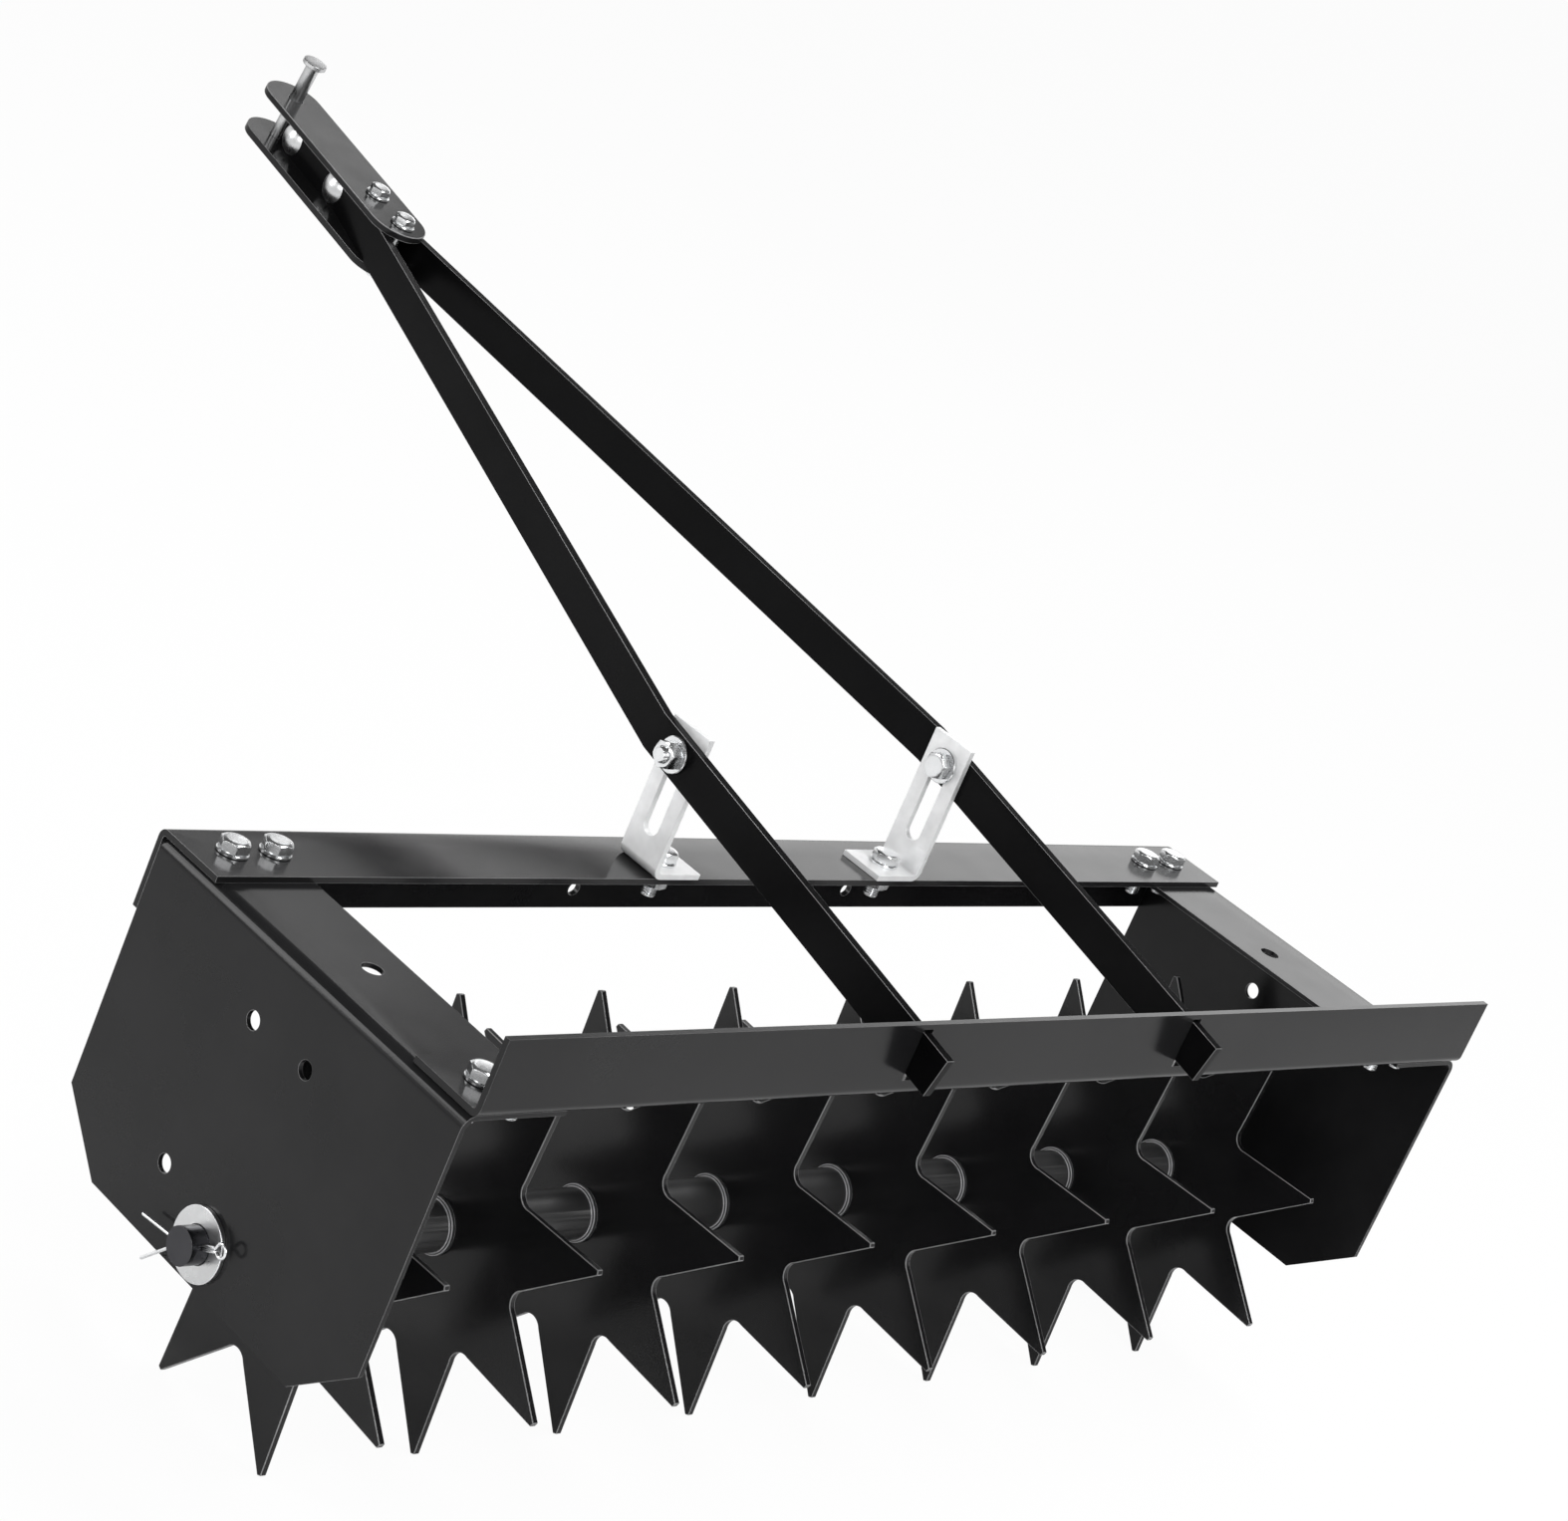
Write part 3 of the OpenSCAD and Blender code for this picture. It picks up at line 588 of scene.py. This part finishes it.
def carriage_bolts():
    """Two round-headed bolts across both straps. A head is a cap of a ball: its height at radius
    r is the root of the ball's radius squared less r squared, less the part below the cap."""
    head_r = CARRIAGE_HEAD_D / 2
    rise = CARRIAGE_HEAD_D / 5
    ball = (head_r ** 2 + rise ** 2) / (2 * rise)
    radii = head_r * np.linspace(0, 1, DOME_RINGS)
    heights = np.sqrt(ball ** 2 - radii ** 2) - (ball - rise)
    length = 2 * STRAP_T + WASHER_T + SMALL_NUT_H + THREAD_OUT
    bolts, nuts = [], []
    for s in CARRIAGE_AT:
        place = drawbar_point(-STRAP_T, s, CARRIAGE_N)
        bolts += [rings(place, -RIGHT, [0, *heights[::-1]], [0, *radii[::-1]]),
                  shank(place, RIGHT, SMALL_BOLT_D, CARRIAGE_PLAIN),
                  thread(place, RIGHT, SMALL_BOLT_D, CARRIAGE_PITCH, CARRIAGE_PLAIN, length)]
        nuts += [washer(drawbar_point(STRAP_T, s, CARRIAGE_N), RIGHT, SMALL_BOLT_D,
                        SMALL_WASHER_D),
                 hex_nut(drawbar_point(STRAP_T + WASHER_T, s, CARRIAGE_N), RIGHT, SMALL_BOLT_D,
                         SMALL_BOLT_AF)]
    add_piece("carriage_bolts_domed", bolts, dull_zinc, "carriage_bolts")
    add_piece("carriage_nuts_chamfered", nuts, bolt_zinc, "carriage_nuts")


def hitch_pin():
    """The turned hitch pin, from its chamfered point up: a round bar, a narrow neck under the
    head, and a flat head with rounded corners."""
    bar_r, head_r = PIN_D / 2, PIN_HEAD_D / 2
    chamfer_h, chamfer_in = 1.6, 1.8
    neck_h, neck_out, seat = 0.6, 0.3, 0.06
    under_h, under_in = 0.5, 0.4
    top_h, rim_h, rim_in, crown_in = 0.5, 0.1, 0.3, 0.9
    heights = [-PIN_LEN, -PIN_LEN, -PIN_LEN + chamfer_h, -neck_h, seat, seat, under_h,
               PIN_HEAD_H - top_h, PIN_HEAD_H - rim_h, PIN_HEAD_H, PIN_HEAD_H]
    radii = [0, bar_r - chamfer_in, bar_r, bar_r, bar_r + neck_out, head_r - under_in, head_r,
             head_r, head_r - rim_in, head_r - crown_in, 0]
    place = drawbar_point(0, PIN_AT, HITCH_TOP + PIN_LIFT)
    add_piece("hitch_pin_turned", [rings(place, DRAWBAR_UP, heights, radii)], dull_zinc,
              "hitch_pin")


def evened(path, spacing, reach):
    """The path's points spaced evenly, each then moved to the mean of its neighbours within
    reach points, which rounds the corners. The two ends stay."""
    step = np.linalg.norm(np.diff(path, axis=0), axis=1)
    far = np.concatenate([[0], np.cumsum(step)])
    at = np.linspace(0, far[-1], int(far[-1] / spacing))
    even = np.stack([np.interp(at, far, path[:, i]) for i in range(path.shape[1])], 1)
    wide = np.pad(even, ((reach, reach), (0, 0)), mode="reflect", reflect_type="odd")
    return np.mean([wide[i:i + len(even)] for i in range(2 * reach + 1)], axis=0)


def cotter_pin(side):
    """A split pin's wire in the plane across the axle: a bent leg, the shank through the axle,
    a round eye, and back along the shank to the other bent leg. Legs and shank are straight
    lines, and the eye is a circle less the gap where the shank's two wires meet it."""
    axle_r = AXLE_D / 2
    tip = np.array([axle_r + COTTER_LEG * math.cos(COTTER_SPREAD),
                    COTTER_WIRE_R + COTTER_LEG * math.sin(COTTER_SPREAD)])
    root = np.array([axle_r, COTTER_WIRE_R])
    back = np.array([-axle_r - COTTER_NECK, COTTER_WIRE_R])
    t = np.linspace(0, 1, LEG_POINTS)
    leg_line = tip + (root - tip) * t[:, None]
    shank_line = root + (back - root) * t[1:, None]
    gap = math.asin(COTTER_WIRE_R / COTTER_EYE_R)
    turn = np.linspace(gap, 2 * math.pi - gap, EYE_POINTS)
    centre = np.array([back[0] - COTTER_EYE_R * math.cos(gap), 0])
    eye = centre + COTTER_EYE_R * np.stack([np.cos(turn), np.sin(turn)], 1)
    flip = [1, -1]
    path = np.concatenate([leg_line, shank_line, eye[1:], (shank_line * flip)[::-1][1:],
                           (leg_line * flip)[::-1][1:]])
    path = evened(path, COTTER_STEP, COTTER_REACH)
    c, d = math.cos(COTTER_TURN), math.sin(COTTER_TURN)
    path = path @ np.array([[c, d], [-d, c]])
    places = np.stack([np.full(len(path), side * COTTER_X), path[:, 0], path[:, 1] + AXLE_Z], 1)
    return wire((places + [0, AXLE_Y, 0]) * MM, COTTER_WIRE_R * MM, RIGHT)


# Fasteners
upright_bolts("frame", [(side * x, end * FRAME_BOLT_Y, FRAME_TOP + ANGLE_T)
                        for side in (-1, 1) for end in (-1, 1) for x in FRAME_BOLT_XS],
              ANGLE_T + PLATE_T)
upright_bolts("bracket", [(side * BRACKET_FOOT_X, BRACKET_Y, FRAME_TOP + ANGLE_T + BRACKET_T)
                          for side in (-1, 1)],
              BRACKET_T + ANGLE_T)
strap_bolts()
hitch_bolts()
carriage_bolts()
hitch_pin()
for side, end in ((-1, "left"), (1, "right")):
    add_piece("cotter_wire_" + end, [cotter_pin(side)], bolt_zinc, "cotter_pin_" + end,
              WIRE_SMOOTH_UNDER)


# Stage and light

FLOOR_HALF = 40
FLOOR_DROP = 0.0004
FLOOR_COLOUR = (0.86, 0.86, 0.86, 1)
WHITE = (1, 1, 1, 1)

# How white the floor is to the camera and to gloss, as shares of white light over its paint
CAMERA_WHITE = 0.95
GLOSS_WHITE = 0.05

# The world's fill light, and the heights at which its white fades to the ceiling's tone
FILL_LIGHT = 0.42
CEILING = 0.08
FADE_FROM = math.radians(21)
FADE_TO = math.radians(24)


def light_path(tree, *names):
    """One for rays of any of the named kinds, else nought."""
    rays = tree.nodes.new("ShaderNodeLightPath")
    found = rays.outputs[names[0]]
    for name in names[1:]:
        either = tree.nodes.new("ShaderNodeMath")
        either.operation = "MAXIMUM"
        tree.links.new(found, either.inputs[0])
        tree.links.new(rays.outputs[name], either.inputs[1])
        found = either.outputs[0]
    return found


def blended(tree, factor, first, second):
    """Mixes two shaders by a factor, which is a number or a socket."""
    mix = tree.nodes.new("ShaderNodeMixShader")
    if isinstance(factor, float):
        mix.inputs["Fac"].default_value = factor
    else:
        tree.links.new(factor, mix.inputs["Fac"])
    tree.links.new(first, mix.inputs[1])
    tree.links.new(second, mix.inputs[2])
    return mix.outputs["Shader"]


def floor_paint():
    """Pale paint that the camera sees as white with a faint shadow, and gloss as pale."""
    mat = bpy.data.materials.new("pale_floor")
    mat.use_nodes = True
    tree = mat.node_tree
    tree.nodes.clear()
    out = tree.nodes.new("ShaderNodeOutputMaterial")
    diffuse = tree.nodes.new("ShaderNodeBsdfDiffuse")
    diffuse.inputs["Color"].default_value = FLOOR_COLOUR
    glow = tree.nodes.new("ShaderNodeEmission")
    glow.inputs["Color"].default_value = WHITE
    glow.inputs["Strength"].default_value = 1.0
    paint, white = diffuse.outputs["BSDF"], glow.outputs["Emission"]
    mirrored = blended(tree, GLOSS_WHITE, paint, white)
    seen = blended(tree, CAMERA_WHITE, paint, white)
    unseen = blended(tree, light_path(tree, "Is Glossy Ray", "Is Transmission Ray"),
                     paint, mirrored)
    surface = blended(tree, light_path(tree, "Is Camera Ray"), unseen, seen)
    tree.links.new(surface, out.inputs["Surface"])
    return mat


def lay_floor():
    """A wide flat floor just under the spikes."""
    corners = [(-1, -1), (1, -1), (1, 1), (-1, 1)]
    mesh = bpy.data.meshes.new("floor")
    mesh.from_pydata([(x * FLOOR_HALF, y * FLOOR_HALF, -FLOOR_DROP) for x, y in corners], [],
                     [(0, 1, 2, 3)])
    mesh.materials.append(floor_paint())
    floor = bpy.data.objects.new("floor", mesh)
    bpy.context.scene.collection.objects.link(floor)


def studio_world():
    """Even fill light. The camera sees it white, and gloss and glass see it white near the
    horizon, with a quick fade to a dark ceiling."""
    world = bpy.context.scene.world or bpy.data.worlds.new("studio")
    bpy.context.scene.world = world
    world.use_nodes = True
    tree = world.node_tree
    tree.nodes.clear()
    out = tree.nodes.new("ShaderNodeOutputWorld")
    fill = tree.nodes.new("ShaderNodeBackground")
    fill.inputs["Color"].default_value = WHITE
    fill.inputs["Strength"].default_value = FILL_LIGHT
    shown = tree.nodes.new("ShaderNodeBackground")
    shown.inputs["Color"].default_value = WHITE
    coords = tree.nodes.new("ShaderNodeTexCoord")
    direction = tree.nodes.new("ShaderNodeSeparateXYZ")
    fade = tree.nodes.new("ShaderNodeMapRange")
    fade.inputs["From Min"].default_value = math.sin(FADE_FROM)
    fade.inputs["From Max"].default_value = math.sin(FADE_TO)
    fade.inputs["To Min"].default_value = 1.0
    fade.inputs["To Max"].default_value = CEILING
    brighter = tree.nodes.new("ShaderNodeMath")
    brighter.operation = "MAXIMUM"
    tree.links.new(coords.outputs["Generated"], direction.inputs["Vector"])
    tree.links.new(direction.outputs["Z"], fade.inputs["Value"])
    tree.links.new(fade.outputs["Result"], brighter.inputs[0])
    tree.links.new(light_path(tree, "Is Camera Ray"), brighter.inputs[1])
    tree.links.new(brighter.outputs[0], shown.inputs["Strength"])
    seen = light_path(tree, "Is Camera Ray", "Is Glossy Ray", "Is Transmission Ray")
    tree.links.new(blended(tree, seen, fill.outputs["Background"],
                           shown.outputs["Background"]), out.inputs["Surface"])


def facing(place, aim):
    """The turn that makes a lamp or camera at place look at aim."""
    return (Vector(aim) - Vector(place)).to_track_quat("-Z", "Y")


def soft_box(name, place, aim, width, height, power):
    """A studio lamp of that width and height that faces its aim."""
    data = bpy.data.lights.new(name, "AREA")
    data.shape = "RECTANGLE"
    data.size = width
    data.size_y = height
    data.energy = power
    lamp = bpy.data.objects.new(name, data)
    lamp.location = place
    lamp.rotation_euler = facing(place, aim).to_euler()
    bpy.context.scene.collection.objects.link(lamp)


lay_floor()
studio_world()

# Key and left light the faces turned to the camera, and top what faces up. Back puts a sheen on
# the flat legs, front on the bend of the left plate, and far on the hitch plates.
soft_box("key", place=(-0.9, -2.9, 2.0), aim=(0, 0, 0.2), width=1.6, height=1.6, power=38)
soft_box("left", place=(-3.0, -0.9, 1.5), aim=(0, -0.2, 0.3), width=1.2, height=1.2, power=17)
soft_box("top", place=(0.5, -0.7, 2.5), aim=(0, -0.32, 0.1), width=1.6, height=0.6, power=40)
soft_box("back", place=(2.5, 1.57, 1.27), aim=(0, -0.25, 0.29), width=1.8, height=0.7, power=5.5)
soft_box("front", place=(-2.3, 1.7, 1.4), aim=(-0.45, -0.3, 0.29), width=0.8, height=1.6,
         power=24)
soft_box("far", place=(2.5, 2.8, 2.6), aim=(0, 0.4, 0.5), width=0.5, height=0.5, power=1.6)


# The camera stands behind the machine, to its left and above it, turned about its own view
CAMERA_PLACE = (-1.7458, -1.6143, 1.1011)
CAMERA_AIM = (0.1001, -0.1094, 0.3168)
CAMERA_ROLL = math.radians(23.28)
CAMERA_LENS = 87.74
CAMERA_FILM = 36
CAMERA_REACH = 200

camera = bpy.data.objects.new("camera", bpy.data.cameras.new("camera"))
camera.data.sensor_fit = "HORIZONTAL"
camera.data.sensor_width = CAMERA_FILM
camera.data.lens = CAMERA_LENS
camera.data.clip_end = CAMERA_REACH
camera.matrix_world = (Matrix.Translation(CAMERA_PLACE)
                       @ facing(CAMERA_PLACE, CAMERA_AIM).to_matrix().to_4x4()
                       @ Matrix.Rotation(CAMERA_ROLL, 4, "Z"))
bpy.context.scene.collection.objects.link(camera)
bpy.context.scene.camera = camera
bpy.context.scene.view_settings.view_transform = "Standard"
